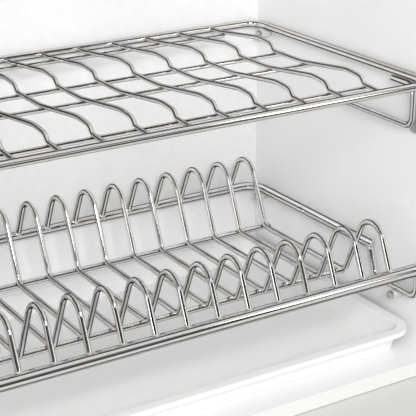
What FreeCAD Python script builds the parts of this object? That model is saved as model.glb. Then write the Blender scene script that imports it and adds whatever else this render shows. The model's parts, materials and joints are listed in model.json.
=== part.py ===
"""Wall cabinet for drying and storing dishes, with a plate rack, a cup rack and a drip tray.

Sizes are in millimetres. X runs along the cabinet, Y to the wall and Z up.
The origin is the middle of the cabinet's underside.
"""
import FreeCAD
import Part
import math
import os

V = FreeCAD.Vector

# Cabinet
cabinet_width = 800.0
cabinet_depth = 350.0
cabinet_height = 600.0
panel_thickness = 16.0
back_thickness = 5.0
back_in_groove = 7.0
groove_slack = 0.2
hanging_rail_height = 80.0
edge_band_thickness = 1.0

# Wall screws through the upper hanging rail
wall_hole_diameter = 8.0
wall_hole_span_x = 600.0
wall_hole_span_z = 40.0

# Screws that hold the panels together
joint_screw_diameter = 6.0
joint_screw_head = 10.0
joint_screw_head_depth = 4.0
joint_screw_length = 50.0
joint_screw_inset = 50.0
cap_diameter = 13.0
cap_thickness = 1.0

# Plate rack
plate_wire_pitch = 34.0
plate_wire_inset = 26.0
plate_wire_diameter = 5.8
plate_floor_height = 88.0
plate_floor_half_width = 74.0
loop_foot_half_width = 149.0
loop_height = 70.7
loop_lean = 23.4
loop_radius = 19.2
floor_bend_radius = 10.0
floor_rod_diameter = 6.0
floor_rod_stub = 9.0
front_rod_from_bend = 12.0
rear_rod_turn = 42.0
frame_tube_diameter = 9.5
frame_tube_height = 21.5
frame_corner_radius = 22.0
frame_end_half_width = 75.0
frame_end_round = 2.5
front_rail_diameter = 12.7
front_rail_height = 20.0
front_rail_wall = 1.2
front_rail_overhang = 4.0
end_cap_dome = 2.5
end_cap_plug = 8.0
end_cap_fit = 0.1
leg_diameter = 7.0
leg_top_from_end = 5.0
leg_lean = 12.0
leg_level = 11.0
leg_bend_radius = 9.0
rack_side_gap = 8.5
rack_back_gap = 4.25
weld_bite = 0.1

# Cup rack
cup_wire_pitch = 41.85
cup_wire_inset = 45.0
cup_wire_diameter = 4.5
cup_wire_rise = 2.25
cup_end_inset = 2.0
cup_end_dip = 1.25
cup_rack_height = 216.75
cup_frame_diameter = 8.0
cup_frame_half_depth = 152.5
cup_frame_side_gap = 6.5
cup_frame_corner_radius = 20.0
cup_outer_rod_half_width = 125.5
cup_inner_rod_half_width = 25.8
cup_outer_rod_stub = 3.0
cup_inner_rod_stub = 13.0
wave_height = 8.8
wave_crest_share = 0.74
wave_shoulder_run = 4.5
wave_shoulder_share = 0.74
wave_foot_radius = 60.0
wave_crest_radius = 60.0
wave_shoulder_radius = 9.0
wave_toe_radius = 5.0

# Pegs under the rear of both racks and the front legs of the plate rack
peg_diameter = 8.0
peg_shank_diameter = 5.0
peg_shank_length = 10.0
peg_reach = 17.0
peg_from_corner = 14.0
peg_from_front_rail = 34.0
sleeve_wall = 1.0
sleeve_length = 12.0
rest_gap = 0.3

# Bent supports under the front of the cup rack
support_rod_diameter = 6.0
support_rod_level = 166.5
support_rear = 14.0
support_front = 128.0
support_off_wall = 9.0
support_bend_radius = 10.0
support_rest_length = 34.0
support_plate_thickness = 2.0
support_plate_width = 24.0
support_plate_height = 60.0
support_plate_corner = 6.0
support_screw_span = 44.0
bush_diameter = 14.0
bush_thickness = 3.0
bush_bore_slack = 0.15

# Wood screws in the support plates
wood_screw_diameter = 4.0
wood_screw_head = 7.5
wood_screw_head_height = 2.0
wood_screw_length = 14.0

# Drip tray
tray_side_gap = 7.0
tray_rear_gap = 3.0
tray_front_setback = 20.0
tray_height = 26.0
tray_wall = 2.0
tray_taper = 6.0
tray_rim_width = 8.0
tray_rim_drop = 3.0
tray_corner_radius = 18.0
tray_floor_gap = 0.3
tray_grip_width = 90.0
tray_grip_depth = 7.0

# Places worked out from the sizes above
half_width = cabinet_width / 2
half_depth = cabinet_depth / 2
inner_half_width = half_width - panel_thickness
inner_width = 2 * inner_half_width
inner_bottom = panel_thickness
inner_top = cabinet_height - panel_thickness
back_rear_y = half_depth - panel_thickness
back_front_y = back_rear_y - back_thickness
frame_tube_radius = frame_tube_diameter / 2
rack_y = back_front_y - rack_back_gap - frame_tube_radius - loop_foot_half_width
frame_z = plate_floor_height + frame_tube_height
cup_frame_z = plate_floor_height + cup_rack_height
rack_half_width = inner_half_width - rack_side_gap
plate_wire_count = 2 * math.floor((rack_half_width - plate_wire_inset) / plate_wire_pitch) + 1
plate_wire_end = plate_wire_pitch * (plate_wire_count - 1) / 2
cup_wire_count = math.floor(2 * (rack_half_width - cup_wire_inset) / cup_wire_pitch) + 1
cup_wire_end = cup_wire_pitch * (cup_wire_count - 1) / 2
cup_half_width = inner_half_width - cup_frame_side_gap
cup_wire_z = cup_frame_z + cup_wire_rise
rear_y = rack_y + loop_foot_half_width
front_rail_y = rack_y - loop_foot_half_width
front_rail_z = plate_floor_height + front_rail_height
rod_to_wire = (plate_wire_diameter + floor_rod_diameter) / 2 - weld_bite
leg_top_y = rack_y - frame_end_half_width + leg_top_from_end
leg_low_z = plate_floor_height - leg_level
sleeve_radius = peg_diameter / 2 + sleeve_wall
peg_rear_y = rear_y - peg_from_corner
peg_front_y = front_rail_y + peg_from_front_rail
plate_peg_z = frame_z - frame_tube_radius - rest_gap - sleeve_radius
cup_peg_z = cup_frame_z - cup_frame_diameter / 2 - rest_gap - sleeve_radius
leg_peg_z = leg_low_z - leg_diameter / 2 - rest_gap - sleeve_radius
peg_places = [(peg_rear_y, plate_peg_z), (peg_rear_y, cup_peg_z), (peg_front_y, leg_peg_z)]
joint_screw_rows = [-half_depth + joint_screw_inset, back_front_y - joint_screw_inset]
joint_screw_levels = [panel_thickness / 2, cabinet_height - panel_thickness / 2]
wall_hole_z = inner_top - hanging_rail_height / 2


def block(x0, x1, y0, y1, z0, z1):
    """Return the box between two corners."""
    return Part.makeBox(x1 - x0, y1 - y0, z1 - z0, V(x0, y0, z0))


def mirror_x(shape):
    """Return the shape's mirror image on the other side of the cabinet."""
    return shape.mirror(V(0, 0, 0), V(1, 0, 0))


def group(shapes):
    """Return separate solids as one group."""
    solids = []
    for shape in shapes:
        solids.extend(shape.Solids)
    return Part.makeCompound(solids)


def bent_line(corners, radii):
    """Return straight runs through the corners, joined by tangent arcs of the given radii."""
    edges = []
    start = corners[0]
    for before, corner, after, radius in zip(corners, corners[1:], corners[2:], radii):
        back = (before - corner).normalize()
        ahead = (after - corner).normalize()
        half_turn = (math.pi - back.getAngle(ahead)) / 2
        reach = radius * math.tan(half_turn)
        arc_start = corner + back * reach
        arc_end = corner + ahead * reach
        middle = (back + ahead).normalize()
        arc_middle = corner + middle * (radius / math.cos(half_turn) - radius)
        edges.append(Part.LineSegment(start, arc_start).toShape())
        edges.append(Part.Arc(arc_start, arc_middle, arc_end).toShape())
        start = arc_end
    edges.append(Part.LineSegment(start, corners[-1]).toShape())
    return Part.Wire(edges)


def bent_rod(corners, radii, diameter):
    """Return a round rod along a bent line."""
    path = bent_line(corners, radii)
    end = Part.Circle(corners[0], corners[1] - corners[0], diameter / 2)
    return path.makePipeShell([Part.Wire([end.toShape()])], True, False)


def straight_rod(start, end, diameter):
    """Return a round rod between two points."""
    return Part.makeCylinder(diameter / 2, (end - start).Length, start, end - start)


def side_panel():
    """Return the right side panel with its groove for the back and its bores."""
    panel = block(inner_half_width, half_width, -half_depth + edge_band_thickness, half_depth, 0, cabinet_height)
    groove = block(inner_half_width - 1, inner_half_width + back_in_groove + groove_slack,
                   back_front_y - groove_slack, back_rear_y + groove_slack, inner_bottom - back_in_groove,
                   inner_top + back_in_groove)
    cuts = [groove]
    for y in joint_screw_rows:
        for z in joint_screw_levels:
            cuts.append(joint_screw(y, z))
    for y, z in peg_places:
        start = V(inner_half_width - 1, y, z)
        cuts.append(Part.makeCylinder(peg_shank_diameter / 2, peg_shank_length + 1, start, V(1, 0, 0)))
    cuts.extend(wood_screw(y, z, inner_half_width) for y, z in support_screw_places())
    cuts.append(support_leg())
    return panel.cut(cuts)


def level_panel(z0, groove_z0, groove_z1):
    """Return a top or bottom panel with its groove for the back and its screw bores."""
    panel = block(-inner_half_width, inner_half_width, -half_depth + edge_band_thickness, half_depth,
                  z0, z0 + panel_thickness)
    groove = block(-inner_half_width - 1, inner_half_width + 1, back_front_y - groove_slack,
                   back_rear_y + groove_slack, groove_z0, groove_z1)
    screws = [joint_screw(y, z0 + panel_thickness / 2) for y in joint_screw_rows]
    return panel.cut([groove] + screws + [mirror_x(screw) for screw in screws])


def bottom_panel():
    """Return the bottom panel."""
    return level_panel(0, inner_bottom - back_in_groove - groove_slack, inner_bottom + 1)


def top_panel():
    """Return the top panel."""
    return level_panel(inner_top, inner_top - 1, inner_top + back_in_groove + groove_slack)


def wall_holes():
    """Return the four wall screw holes through the back and the upper hanging rail."""
    holes = []
    for x in (-wall_hole_span_x / 2, wall_hole_span_x / 2):
        for z in (wall_hole_z - wall_hole_span_z / 2, wall_hole_z + wall_hole_span_z / 2):
            start = V(x, back_front_y - 1, z)
            length = half_depth - back_front_y + 2
            holes.append(Part.makeCylinder(wall_hole_diameter / 2, length, start, V(0, 1, 0)))
    return holes


def back_panel():
    """Return the thin back panel that sits in the four grooves."""
    panel = block(-inner_half_width - back_in_groove, inner_half_width + back_in_groove, back_front_y,
                  back_rear_y, inner_bottom - back_in_groove, inner_top + back_in_groove)
    return panel.cut(wall_holes())


def upper_hanging_rail():
    """Return the rail behind the back panel that the wall screws pass through."""
    rail = block(-inner_half_width, inner_half_width, back_rear_y, half_depth,
                 inner_top - hanging_rail_height, inner_top)
    return rail.cut(wall_holes())


def lower_hanging_rail():
    """Return the rail behind the foot of the back panel that keeps the cabinet off the wall evenly."""
    return block(-inner_half_width, inner_half_width, back_rear_y, half_depth,
                 inner_bottom, inner_bottom + hanging_rail_height)


def edge_bands():
    """Return the four strips that finish the front edges of the panels."""
    front = -half_depth
    rear = front + edge_band_thickness
    side = block(inner_half_width, half_width, front, rear, 0, cabinet_height)
    bottom = block(-inner_half_width, inner_half_width, front, rear, 0, inner_bottom)
    top = block(-inner_half_width, inner_half_width, front, rear, inner_top, cabinet_height)
    return group([side, mirror_x(side), bottom, top])


def joint_screw(y, z):
    """Return one screw that joins the right side panel to a level panel."""
    head_x = half_width - cap_thickness
    head = Part.makeCylinder(joint_screw_head / 2, joint_screw_head_depth, V(head_x, y, z), V(-1, 0, 0))
    shank = Part.makeCylinder(joint_screw_diameter / 2, joint_screw_length, V(head_x, y, z), V(-1, 0, 0))
    cap = Part.makeCylinder(cap_diameter / 2, cap_thickness, V(half_width, y, z), V(-1, 0, 0))
    return head.fuse([shank, cap])


def joint_screws():
    """Return the eight screws of the carcass."""
    screws = []
    for y in joint_screw_rows:
        for z in joint_screw_levels:
            cap = Part.makeCylinder(cap_diameter, cap_thickness, V(half_width, y, z), V(-1, 0, 0))
            screw = joint_screw(y, z).cut(cap)
            screws.extend([screw, mirror_x(screw)])
    return group(screws)


def screw_caps():
    """Return the flush caps over the eight screw heads."""
    caps = []
    for y in joint_screw_rows:
        for z in joint_screw_levels:
            cap = Part.makeCylinder(cap_diameter / 2, cap_thickness, V(half_width, y, z), V(-1, 0, 0))
            caps.extend([cap, mirror_x(cap)])
    return group(caps)


def loop_corners():
    """Return one plate wire's corners from its front foot to its rear foot, in one upright plane."""
    lean = math.radians(loop_lean)
    apex_z = loop_height + loop_radius / math.sin(lean) - loop_radius
    apex_half = plate_floor_half_width + apex_z * math.tan(lean)
    side = [(apex_half, apex_z), (plate_floor_half_width, 0.0)]
    front = [(-loop_foot_half_width, front_rail_height)] + [(-half, z) for half, z in side]
    rear = [(half, z) for half, z in reversed(side)] + [(loop_foot_half_width, frame_tube_height)]
    return front + rear


def plate_wire(x):
    """Return one plate wire, bent into a loop at each end."""
    corners = [V(x, rack_y + y, plate_floor_height + z) for y, z in loop_corners()]
    radii = [loop_radius, floor_bend_radius, floor_bend_radius, loop_radius]
    return bent_rod(corners, radii, plate_wire_diameter)


def biggest(shape):
    """Return the largest solid of a shape."""
    return max(shape.Solids, key=lambda solid: solid.Volume)


def along_x(reach, y, z, diameter):
    """Return a round rod along the cabinet, as long on both sides of its middle."""
    return straight_rod(V(-reach, y, z), V(reach, y, z), diameter)


def plate_wires():
    """Return all the plate wires, cut to seat on both rails."""
    seats = [along_x(rack_half_width, front_rail_y, front_rail_z, front_rail_diameter),
             along_x(rack_half_width, rear_y, frame_z, frame_tube_diameter)]
    body = biggest(plate_wire(0).cut(seats))
    places = [plate_wire_pitch * i - plate_wire_end for i in range(plate_wire_count)]
    return group([body.translated(V(x, 0, 0)) for x in places])


def plate_frame():
    """Return the bent tube under the rear feet, with sides that run forward to their closed ends."""
    corners = [V(0, rear_y, frame_z), V(rack_half_width, rear_y, frame_z),
               V(rack_half_width, rack_y - frame_end_half_width, frame_z)]
    half = bent_rod(corners, [frame_corner_radius], frame_tube_diameter)
    rim = [e for e in half.Edges if e.BoundBox.YMax < corners[-1].y + 0.01]
    half = half.makeFillet(frame_end_round, rim)
    return half.fuse(mirror_x(half)).removeSplitter()


def front_leg():
    """Return the right leg, a rod bent down from the side of the frame, forward and up to the front rail."""
    x = rack_half_width
    corners = [V(x, leg_top_y, frame_z), V(x, leg_top_y - leg_lean, leg_low_z), V(x, front_rail_y, leg_low_z),
               V(x, front_rail_y, front_rail_z)]
    rod = bent_rod(corners, [leg_bend_radius] * 2, leg_diameter)
    side_y = rack_y - frame_end_half_width
    side = straight_rod(V(x, side_y, frame_z), V(x, rack_y, frame_z), frame_tube_diameter)
    rail = along_x(front_rail_half_length(), front_rail_y, front_rail_z, front_rail_diameter)
    return biggest(rod.cut([side, rail]))


def front_rail_half_length():
    """Return half of the front rail's length without its caps."""
    return rack_half_width + front_rail_overhang


def front_rail():
    """Return the straight front tube that the front feet of the plate wires stand on."""
    reach = front_rail_half_length()
    bore = along_x(reach + 1, front_rail_y, front_rail_z, front_rail_diameter - 2 * front_rail_wall)
    return along_x(reach, front_rail_y, front_rail_z, front_rail_diameter).cut(bore)


def front_rail_caps():
    """Return the two domed plugs in the ends of the front rail."""
    radius = front_rail_diameter / 2
    plug_radius = radius - front_rail_wall - end_cap_fit
    dome_radius = (radius ** 2 + end_cap_dome ** 2) / (2 * end_cap_dome)
    rim = V(0, 0, radius)
    half_angle = math.asin(radius / dome_radius) / 2
    middle = V(end_cap_dome - dome_radius + dome_radius * math.cos(half_angle), 0, dome_radius * math.sin(half_angle))
    tip = V(end_cap_dome, 0, 0)
    corners = [tip, V(-end_cap_plug, 0, 0), V(-end_cap_plug, 0, plug_radius), V(0, 0, plug_radius), rim]
    edges = [Part.LineSegment(a, b).toShape() for a, b in zip(corners, corners[1:])]
    edges.append(Part.Arc(rim, middle, tip).toShape())
    cap = Part.Face(Part.Wire(edges)).revolve(V(0, 0, 0), V(1, 0, 0), 360)
    placed = cap.translated(V(front_rail_half_length(), front_rail_y, front_rail_z))
    return group([placed, mirror_x(placed)])


def floor_rod_front():
    """Return the long rod under the plate wires, just behind their front bends."""
    y = rack_y - plate_floor_half_width + front_rod_from_bend
    return along_x(plate_wire_end + floor_rod_stub, y, plate_floor_height - rod_to_wire, floor_rod_diameter)


def floor_rod_rear():
    """Return the long rod that lies against the outside of the rear bends of the plate wires."""
    turn = math.radians(90 - loop_lean)
    bend_y = rack_y + plate_floor_half_width - floor_bend_radius * math.tan(turn / 2)
    bend_z = plate_floor_height + floor_bend_radius
    reach = floor_bend_radius + rod_to_wire
    y = bend_y + reach * math.sin(math.radians(rear_rod_turn))
    z = bend_z - reach * math.cos(math.radians(rear_rod_turn))
    return along_x(plate_wire_end + floor_rod_stub, y, z, floor_rod_diameter)


def cup_frame():
    """Return the rounded rectangular frame of the cup rack."""
    y0 = rack_y - cup_frame_half_depth
    y1 = rack_y + cup_frame_half_depth
    corners = [V(0, y1, cup_frame_z), V(cup_half_width, y1, cup_frame_z), V(cup_half_width, y0, cup_frame_z),
               V(0, y0, cup_frame_z)]
    half = bent_rod(corners, [cup_frame_corner_radius] * 2, cup_frame_diameter)
    return half.fuse(mirror_x(half)).removeSplitter()


def wave_corners(foot, toe):
    """Return the corners of one wave, which climbs slowly from its foot and drops at its toe."""
    run = toe - foot
    forward = math.copysign(wave_shoulder_run, run)
    return [(foot, 0.0), (foot + run * wave_crest_share, wave_height),
            (toe - forward, wave_height * wave_shoulder_share), (toe, 0.0)]


def cup_wires():
    """Return the wavy wires across the long rods of the cup rack, cut to seat against its frame."""
    ends = cup_frame_half_depth - cup_end_inset
    outline = [(ends, -cup_end_dip)]
    outline += wave_corners(cup_outer_rod_half_width, cup_inner_rod_half_width)
    outline += wave_corners(-cup_inner_rod_half_width, -cup_outer_rod_half_width)
    outline += [(-ends, -cup_end_dip)]
    wave_radii = [wave_foot_radius, wave_crest_radius, wave_shoulder_radius, wave_toe_radius]
    corners = [V(0, rack_y + y, cup_wire_z + height) for y, height in outline]
    wire = bent_rod(corners, wave_radii * 2, cup_wire_diameter)
    seats = [along_x(cup_wire_end, rack_y + y, cup_frame_z, cup_frame_diameter)
             for y in (-cup_frame_half_depth, cup_frame_half_depth)]
    body = biggest(wire.cut(seats))
    places = [cup_wire_pitch * i - cup_wire_end for i in range(cup_wire_count)]
    return group([body.translated(V(x, 0, 0)) for x in places])


def cup_rod(y, stub):
    """Return one long rod under the wavy wires."""
    z = cup_wire_z - cup_wire_diameter + weld_bite
    return along_x(cup_wire_end + stub, rack_y + y, z, cup_wire_diameter)


def support_peg(y, z):
    """Return one peg in the right side panel, with a thin shank and a thicker round body."""
    shank = Part.makeCylinder(peg_shank_diameter / 2, peg_shank_length, V(inner_half_width, y, z), V(1, 0, 0))
    body = Part.makeCylinder(peg_diameter / 2, peg_reach, V(inner_half_width, y, z), V(-1, 0, 0))
    edge = [e for e in body.Edges if e.BoundBox.XMax < inner_half_width - 1 and e.BoundBox.XLength < 1e-6]
    return body.makeFillet(peg_diameter / 8, edge).fuse(shank)


def support_pegs():
    """Return the six pegs under the racks."""
    pegs = [support_peg(y, z) for y, z in peg_places]
    return group(pegs + [mirror_x(peg) for peg in pegs])


def peg_sleeves():
    """Return the soft sleeves on the pegs, which keep the metal racks quiet."""
    sleeves = []
    for y, z in peg_places:
        start = V(inner_half_width - 1, y, z)
        outer = Part.makeCylinder(sleeve_radius, sleeve_length, start, V(-1, 0, 0))
        bore = Part.makeCylinder(peg_diameter / 2, sleeve_length, start, V(-1, 0, 0))
        sleeve = outer.cut(bore)
        sleeves.extend([sleeve, mirror_x(sleeve)])
    return group(sleeves)


def wood_screw(y, z, seat_x):
    """Return one pan head screw whose head sits on a face at seat_x and points into the right side."""
    head = Part.makeCylinder(wood_screw_head / 2, wood_screw_head_height, V(seat_x, y, z), V(-1, 0, 0))
    rim = [e for e in head.Edges if e.BoundBox.XMax < seat_x - wood_screw_head_height / 2]
    rim = [e for e in rim if e.BoundBox.XLength < 1e-6]
    head = head.makeFillet(wood_screw_head_height / 2, rim)
    shank = Part.makeCylinder(wood_screw_diameter / 2, wood_screw_length, V(seat_x, y, z), V(1, 0, 0))
    return head.fuse(shank)


def support_corners():
    """Return the corners of the right cup rack support, from inside the wall to the tip of its rest."""
    x = inner_half_width - support_off_wall
    rear_y = rack_y - support_rear
    front_y = rack_y - support_front
    low_z = plate_floor_height + support_rod_level
    high_z = cup_frame_z - (cup_frame_diameter + support_rod_diameter) / 2 - rest_gap
    return [V(inner_half_width + peg_shank_length, rear_y, low_z), V(x, rear_y, low_z), V(x, front_y, low_z),
            V(x, front_y, high_z), V(x, front_y + support_rest_length, high_z)]


def support_rod():
    """Return the right support, a rod bent out of the wall, forward, up and back under the cup rack."""
    radii = [support_bend_radius - 2, support_bend_radius, support_bend_radius]
    return bent_rod(support_corners(), radii, support_rod_diameter)


def support_leg():
    """Return the hole in the side panel for the support's rear end."""
    corners = support_corners()
    return straight_rod(corners[0], corners[1], support_rod_diameter)


def support_plate_y():
    """Return the place of the upright plate along the cabinet's depth."""
    return rack_y - support_front


def support_screw_places():
    """Return where the support plate's two screws enter the side panel."""
    corners = support_corners()
    middle = (corners[2].z + corners[3].z) / 2
    return [(support_plate_y(), middle - support_screw_span / 2), (support_plate_y(), middle + support_screw_span / 2)]


def support_plate():
    """Return the right wall plate with the spacer that the upright of the support is welded to."""
    corners = support_corners()
    middle = (corners[2].z + corners[3].z) / 2
    y = support_plate_y()
    x0 = inner_half_width - support_plate_thickness
    plate = block(x0, inner_half_width, y - support_plate_width / 2, y + support_plate_width / 2,
                  middle - support_plate_height / 2, middle + support_plate_height / 2)
    upright = [e for e in plate.Edges if e.BoundBox.XLength > support_plate_thickness / 2
               and e.BoundBox.YLength < 1e-6 and e.BoundBox.ZLength < 1e-6]
    plate = plate.makeFillet(support_plate_corner, upright)
    spacer_end = inner_half_width - support_off_wall + support_rod_diameter / 2 - weld_bite
    spacer = block(spacer_end, x0, y - support_rod_diameter / 2, y + support_rod_diameter / 2,
                   middle - support_rod_diameter, middle + support_rod_diameter)
    screws = [wood_screw(sy, sz, x0) for sy, sz in support_screw_places()]
    return plate.fuse(spacer).removeSplitter().cut(screws)


def support_screws():
    """Return the four screws of the support plates."""
    x0 = inner_half_width - support_plate_thickness
    screws = [wood_screw(y, z, x0) for y, z in support_screw_places()]
    return group(screws + [mirror_x(screw) for screw in screws])


def support_bushes():
    """Return the plastic collars where the supports enter the side panels."""
    rear = support_corners()[1]
    start = V(inner_half_width, rear.y, rear.z)
    collar = Part.makeCylinder(bush_diameter / 2, bush_thickness, start, V(-1, 0, 0))
    collar_rim = [e for e in collar.Edges if e.BoundBox.XMax < inner_half_width - bush_thickness / 2
                  and e.BoundBox.XLength < 1e-6]
    collar = collar.makeChamfer(bush_thickness / 3, collar_rim)
    bore = Part.makeCylinder(support_rod_diameter / 2 + bush_bore_slack, 2 * bush_thickness, start, V(-1, 0, 0))
    bush = collar.cut(bore)
    return group([bush, mirror_x(bush)])


def rounded_slab(half_x, y0, y1, z0, z1, radius):
    """Return a slab with rounded upright corners."""
    slab = block(-half_x, half_x, y0, y1, z0, z1)
    corners = [e for e in slab.Edges if e.BoundBox.ZLength > (z1 - z0) / 2]
    return slab.makeFillet(radius, corners)


def rounded_outline(half_x, y0, y1, z, radius):
    """Return a rounded rectangle at one level."""
    slab = rounded_slab(half_x, y0, y1, z, z + 1, radius)
    bottom = min(slab.Faces, key=lambda f: f.CenterOfMass.z)
    return bottom.OuterWire


def tapered_tub(half_x, y0, y1, z0, z1, taper, radius):
    """Return a tub shape that is narrower at its foot by the taper on each side."""
    foot = rounded_outline(half_x - taper, y0 + taper, y1 - taper, z0, radius - taper / 2)
    mouth = rounded_outline(half_x, y0, y1, z1, radius)
    return Part.makeLoft([foot, mouth], True, True)


def drip_tray():
    """Return the moulded tray under the plate rack, with a turned rim and a finger grip."""
    z0 = inner_bottom + tray_floor_gap
    z1 = z0 + tray_height
    rim_half = inner_half_width - tray_side_gap
    rim_y0 = -half_depth + tray_front_setback
    rim_y1 = back_front_y - tray_rear_gap
    half_x = rim_half - tray_rim_width
    y0 = rim_y0 + tray_rim_width
    y1 = rim_y1 - tray_rim_width
    rim_radius = tray_corner_radius + tray_rim_width
    outer = tapered_tub(half_x, y0, y1, z0, z1, tray_taper, tray_corner_radius)
    inner = tapered_tub(half_x - tray_wall, y0 + tray_wall, y1 - tray_wall, z0 + tray_wall, z1 + tray_wall / 10,
                        tray_taper, tray_corner_radius - tray_wall)
    rim = rounded_slab(rim_half, rim_y0, rim_y1, z1 - tray_wall, z1, rim_radius)
    skirt = rounded_slab(rim_half, rim_y0, rim_y1, z1 - tray_wall - tray_rim_drop, z1, rim_radius)
    skirt_hole = rounded_slab(rim_half - tray_wall, rim_y0 + tray_wall, rim_y1 - tray_wall,
                              z1 - 2 * tray_wall - tray_rim_drop, z1, rim_radius - tray_wall)
    grip = block(-tray_grip_width / 2, tray_grip_width / 2, rim_y0 - 1, rim_y0 + tray_wall,
                 z1 - tray_grip_depth, z1 - tray_wall)
    return outer.fuse([rim, skirt.cut(skirt_hole)]).cut([inner, grip]).removeSplitter()


def make_parts():
    """Return every sub-part by name."""
    right_side = side_panel()
    right_rod = support_rod()
    right_plate = support_plate()
    right_leg = front_leg()
    return {
        "right_side_panel": right_side,
        "left_side_panel": mirror_x(right_side),
        "bottom_panel": bottom_panel(),
        "top_panel": top_panel(),
        "back_panel": back_panel(),
        "upper_hanging_rail": upper_hanging_rail(),
        "lower_hanging_rail": lower_hanging_rail(),
        "front_edge_bands": edge_bands(),
        "carcass_screws": joint_screws(),
        "screw_caps": screw_caps(),
        "support_pegs": support_pegs(),
        "peg_sleeves": peg_sleeves(),
        "cup_support_right": right_rod,
        "cup_support_left": mirror_x(right_rod),
        "support_plate_right": right_plate,
        "support_plate_left": mirror_x(right_plate),
        "support_screws": support_screws(),
        "support_bushes": support_bushes(),
        "plate_frame": plate_frame(),
        "front_leg_right": right_leg,
        "front_leg_left": mirror_x(right_leg),
        "plate_wires": plate_wires(),
        "front_rail": front_rail(),
        "front_rail_caps": front_rail_caps(),
        "floor_rod_front": floor_rod_front(),
        "floor_rod_rear": floor_rod_rear(),
        "cup_frame": cup_frame(),
        "cup_wires": cup_wires(),
        "cup_rod_front_outer": cup_rod(-cup_outer_rod_half_width, cup_outer_rod_stub),
        "cup_rod_front_inner": cup_rod(-cup_inner_rod_half_width, cup_inner_rod_stub),
        "cup_rod_rear_inner": cup_rod(cup_inner_rod_half_width, cup_inner_rod_stub),
        "cup_rod_rear_outer": cup_rod(cup_outer_rod_half_width, cup_outer_rod_stub),
        "drip_tray": drip_tray(),
    }


def main():
    os.makedirs("parts", exist_ok=True)
    for name, shape in make_parts().items():
        if not shape.isValid():
            raise RuntimeError(name + " is not a valid solid")
        shape.exportStep("parts/" + name + ".step")
        box = shape.BoundBox
        print("%-22s solids %3d volume %10.1f z %.2f to %.2f" % (name, len(shape.Solids), shape.Volume,
                                                                box.ZMin, box.ZMax))


if __name__ == "__main__":
    main()
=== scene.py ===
"""Fine bent wires, tubes, welds, screws and finishes for the dish storage cabinet, and a plain studio.

Lengths are in metres. X runs along the cabinet, Y to the wall and Z up, as in the frame.
"""

import json
import math

import bpy
import numpy as np
from bpy.props import FloatProperty, FloatVectorProperty, IntProperty, PointerProperty
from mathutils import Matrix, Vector

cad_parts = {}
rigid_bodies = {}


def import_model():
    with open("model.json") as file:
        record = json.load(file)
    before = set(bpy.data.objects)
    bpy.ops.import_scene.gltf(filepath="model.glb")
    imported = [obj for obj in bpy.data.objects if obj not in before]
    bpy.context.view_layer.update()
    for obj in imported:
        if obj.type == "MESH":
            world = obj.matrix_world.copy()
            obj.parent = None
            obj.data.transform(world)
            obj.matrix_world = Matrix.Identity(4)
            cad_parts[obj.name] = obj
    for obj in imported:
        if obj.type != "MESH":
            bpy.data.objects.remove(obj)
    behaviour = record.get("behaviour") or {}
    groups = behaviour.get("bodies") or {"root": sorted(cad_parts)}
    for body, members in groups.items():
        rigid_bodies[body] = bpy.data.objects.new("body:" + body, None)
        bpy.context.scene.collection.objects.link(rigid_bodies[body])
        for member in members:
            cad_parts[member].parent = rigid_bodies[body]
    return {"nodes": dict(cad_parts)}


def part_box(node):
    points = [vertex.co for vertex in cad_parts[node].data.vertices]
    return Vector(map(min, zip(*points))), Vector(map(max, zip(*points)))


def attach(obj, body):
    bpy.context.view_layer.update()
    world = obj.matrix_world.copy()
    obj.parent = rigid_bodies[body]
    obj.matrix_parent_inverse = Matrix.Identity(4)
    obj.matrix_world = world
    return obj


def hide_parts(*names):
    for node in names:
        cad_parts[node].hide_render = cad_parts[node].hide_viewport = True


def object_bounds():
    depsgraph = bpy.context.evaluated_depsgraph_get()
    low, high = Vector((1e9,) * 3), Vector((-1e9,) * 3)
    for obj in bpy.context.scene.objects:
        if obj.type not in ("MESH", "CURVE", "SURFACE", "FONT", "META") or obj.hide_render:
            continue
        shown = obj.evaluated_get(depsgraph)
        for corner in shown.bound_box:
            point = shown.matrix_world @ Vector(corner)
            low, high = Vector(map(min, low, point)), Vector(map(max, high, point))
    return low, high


bl_info = {
    "name": "Dish Storage Cabinet",
    "version": (1, 0, 0),
    "blender": (4, 5, 0),
    "location": "View3D > Sidebar > Dish Cabinet",
    "description": "Bends the racks of a dish cabinet, welds them and gives every part its finish",
    "category": "Add Mesh",
}

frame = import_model()
cad_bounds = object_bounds()

MM = 0.001
WELD_BITE = 0.1 * MM


def linear(hex_colour):
    """Turn an sRGB hex colour into the linear values that the shaders take."""
    values = np.array([int(hex_colour[i:i + 2], 16) for i in (1, 3, 5)]) / 255
    values = np.where(values <= 0.04045, values / 12.92, ((values + 0.055) / 1.055) ** 2.4)
    return tuple(float(value) for value in values)


def length(name, description, default):
    """Return one length property, in metres."""
    return FloatProperty(name=name, description=description, default=default, min=0.0, unit="LENGTH", precision=5)


def colour(name, description, default):
    """Return one colour property from an sRGB hex colour."""
    return FloatVectorProperty(name=name, description=description, default=linear(default), size=3, min=0.0,
                               max=1.0, subtype="COLOR")


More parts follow.
